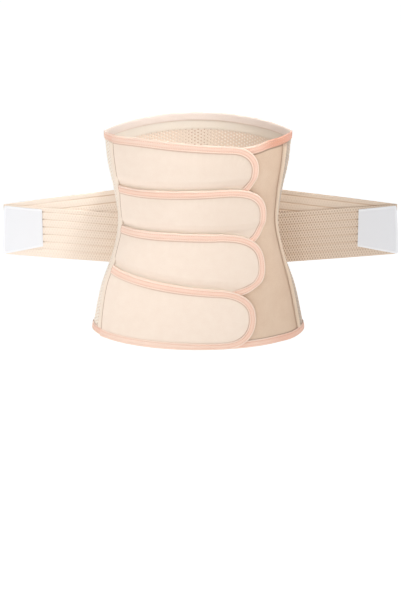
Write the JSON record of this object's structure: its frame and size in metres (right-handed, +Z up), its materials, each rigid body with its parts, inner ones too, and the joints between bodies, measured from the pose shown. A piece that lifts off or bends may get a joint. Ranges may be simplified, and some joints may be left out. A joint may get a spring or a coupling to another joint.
{
  "type": "postpartum belly band",
  "caption": "Hourglass cloth belly wrap with lapped tongue flaps in front, a mesh back, boned side seams and crossed elastic pull bands that end in hook tabs.",
  "frame": {"origin": "middle of the waist, on the tube's axis level with its widest line", "axes": "+Z up along the body, -Y to the front where the flaps close, +X to the side that the flaps point to"},
  "size_m": [0.633, 0.2232, 0.3339],
  "materials": {
    "mesh": "soft open hexagonal mesh",
    "loop_cloth": "brushed loop cloth",
    "flap_cloth": "brushed padded cloth",
    "binding": "folded satin-knit binding, stitched",
    "tape": "woven tape over a bone",
    "elastic": "ribbed knitted elastic",
    "hook_tab": "fine hook sheet, stitched edge"
  },
  "bodies": {
    "root": {"back_panel": "mesh", "under_panel": "loop_cloth", "flap_1": "flap_cloth", "flap_1_binding": "binding", "flap_2": "flap_cloth", "flap_2_binding": "binding", "flap_3": "flap_cloth", "flap_3_binding": "binding", "flap_4": "flap_cloth", "flap_4_binding": "binding", "top_binding": "binding", "bottom_binding": "binding", "left_tape": "tape", "right_tape": "tape", "left_lower_band": "elastic", "left_upper_band": "elastic", "left_tab": "hook_tab", "right_lower_band": "elastic", "right_upper_band": "elastic", "right_tab": "hook_tab"}
  },
  "joints": []
}
